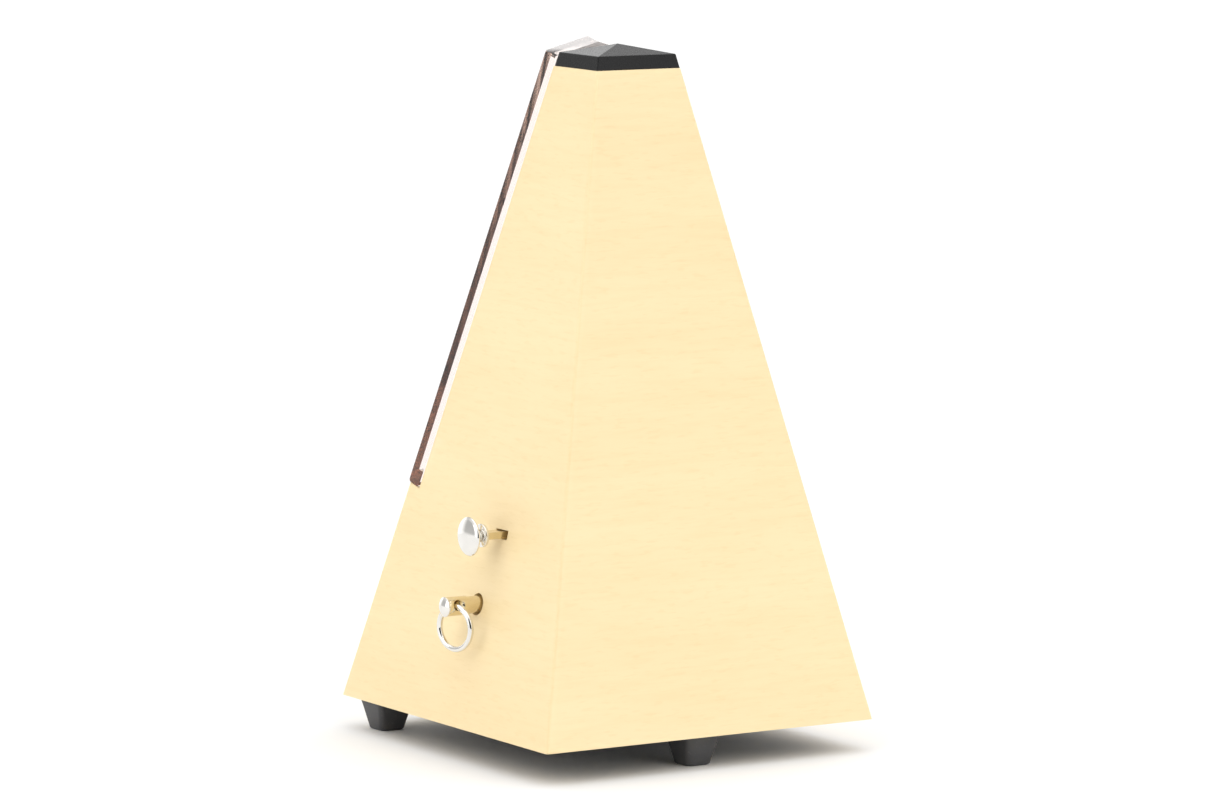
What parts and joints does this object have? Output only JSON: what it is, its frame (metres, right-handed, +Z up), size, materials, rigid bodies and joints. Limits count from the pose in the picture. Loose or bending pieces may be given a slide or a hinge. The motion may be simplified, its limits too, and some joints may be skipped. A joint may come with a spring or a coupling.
{
  "type": "metronome",
  "caption": "Pyramid wind-up metronome: mitred wood case, clear front cover, winding key, bell pull, pendulum with sliding weight and a geared verge movement.",
  "frame": {"origin": "on the ground, under the middle of the square case", "axes": "+Z up, +Y to the case's back, +X to the side with the winding key"},
  "size_m": [0.1224, 0.118, 0.2153],
  "materials": {
    "case_wood": "satin",
    "black_plastic": "fine texture",
    "smoke_cover": "clear gloss",
    "brass": "brushed",
    "nickel": "polished",
    "steel": "machined",
    "scale_metal": "brushed",
    "cast_weight": "painted"
  },
  "bodies": {
    "case": {"case_right_board": "case_wood", "case_back_board": "case_wood", "case_left_board": "case_wood", "case_front_board": "case_wood", "base_board": "black_plastic", "foot_front_right": "black_plastic", "foot_front_left": "black_plastic", "foot_back": "black_plastic", "foot_screws": "steel", "top_cap": "black_plastic", "inner_front_panel": "black_plastic", "scale_plate": "scale_metal", "scale_pins": "steel", "rod_catch": "brass", "movement_plate_right": "brass", "movement_plate_left": "brass", "pillars": "steel", "pillar_screws": "steel", "base_brackets": "steel", "bracket_screws": "steel", "verge_bridge": "brass", "verge_cock": "brass", "selector_guide": "steel", "cam_bridge": "brass", "bridge_posts": "steel", "mainspring": "steel", "bell": "brass", "bell_bracket": "steel", "bell_screw": "steel"},
    "cover": {"front_cover": "smoke_cover"},
    "winding_key": {"winding_key_shaft": "brass", "key_end_cap": "nickel", "winding_arbor": "steel", "ratchet_wheel": "steel", "spring_hub": "steel"},
    "key_ring": {"key_ring": "nickel"},
    "great_wheel": {"great_wheel": "brass", "click_screw": "steel", "click_spring": "steel"},
    "click": {"click": "steel"},
    "second_wheel": {"second_wheel": "brass", "second_arbor": "steel"},
    "crown_wheel": {"crown_wheel": "brass", "crown_arbor": "steel", "cam_stack": "brass"},
    "verge": {"verge": "steel", "pendulum_hub": "brass", "cross_pin": "steel"},
    "pendulum": {"pendulum_rod": "steel", "bob": "cast_weight", "bob_screw": "steel"},
    "sliding_weight": {"sliding_weight": "scale_metal", "weight_spring": "steel"},
    "bell_pull": {"selector_strip": "brass", "selector_fork": "brass", "selector_collar": "nickel", "selector_knob": "nickel"},
    "hammer": {"hammer_lever": "steel", "hammer_head": "brass"}
  },
  "joints": [
    {"name": "cover_tilt", "type": "hinge", "parent": "case", "child": "cover", "pos_m": [0, -0.04396, 0.0777], "axis": [1, 0, 0], "range_deg": [0, 60]},
    {"name": "key_turn", "type": "hinge", "parent": "case", "child": "winding_key", "pos_m": [0.05503, 0.0065, 0.0468], "axis": [1, 0, 0], "continuous": true},
    {"name": "key_ring_swing", "type": "hinge", "parent": "winding_key", "child": "key_ring", "pos_m": [0.05973, 0.0065, 0.0468], "axis": [0.2357, -0.9454, -0.225], "range_deg": [-12, 35]},
    {"name": "great_wheel_turn", "type": "hinge", "parent": "case", "child": "great_wheel", "pos_m": [0.0092, 0.0065, 0.0468], "axis": [1, 0, 0], "continuous": true},
    {"name": "click_lift", "type": "hinge", "parent": "great_wheel", "child": "click", "pos_m": [0.0072, 0.00339, 0.05839], "axis": [1, 0, 0], "range_deg": [0, 10], "stiffness_Nm_per_rad": 0.0005, "deforming": ["click_spring"]},
    {"name": "second_wheel_turn", "type": "hinge", "parent": "case", "child": "second_wheel", "pos_m": [-0.0122, -0.01397, 0.04211], "axis": [1, 0, 0], "continuous": true},
    {"name": "crown_wheel_turn", "type": "hinge", "parent": "case", "child": "crown_wheel", "pos_m": [-0.009, -0.01197, 0.06], "axis": [1, 0, 0], "continuous": true},
    {"name": "pendulum_swing", "type": "hinge", "parent": "case", "child": "verge", "pos_m": [0, -0.036, 0.06], "axis": [0, 1, 0], "range_deg": [-4, 4]},
    {"name": "rod_release", "type": "hinge", "parent": "verge", "child": "pendulum", "pos_m": [0, -0.036, 0.06], "axis": [1, 0, 0], "range_deg": [0, 11.02]},
    {"name": "tempo_weight_slide", "type": "slide", "parent": "pendulum", "child": "sliding_weight", "axis": [0, 0.1912, 0.9816], "range_m": [-0.033, 0.061]},
    {"name": "bell_pull_slide", "type": "slide", "parent": "case", "child": "bell_pull", "axis": [1, 0, 0], "range_m": [-0.004, 0.004]},
    {"name": "hammer_swing", "type": "hinge", "parent": "bell_pull", "child": "hammer", "pos_m": [-0.02275, 0.002, 0.06], "axis": [1, 0, 0], "range_deg": [-1.4, 8], "stiffness_Nm_per_rad": 0.003}
  ],
  "couplings": [
    {"joint": "rod_release", "follows": "cover_tilt", "ratio": 0.18368},
    {"joint": "second_wheel_turn", "follows": "crown_wheel_turn", "ratio": -0.2},
    {"joint": "great_wheel_turn", "follows": "crown_wheel_turn", "ratio": 0.033333}
  ]
}
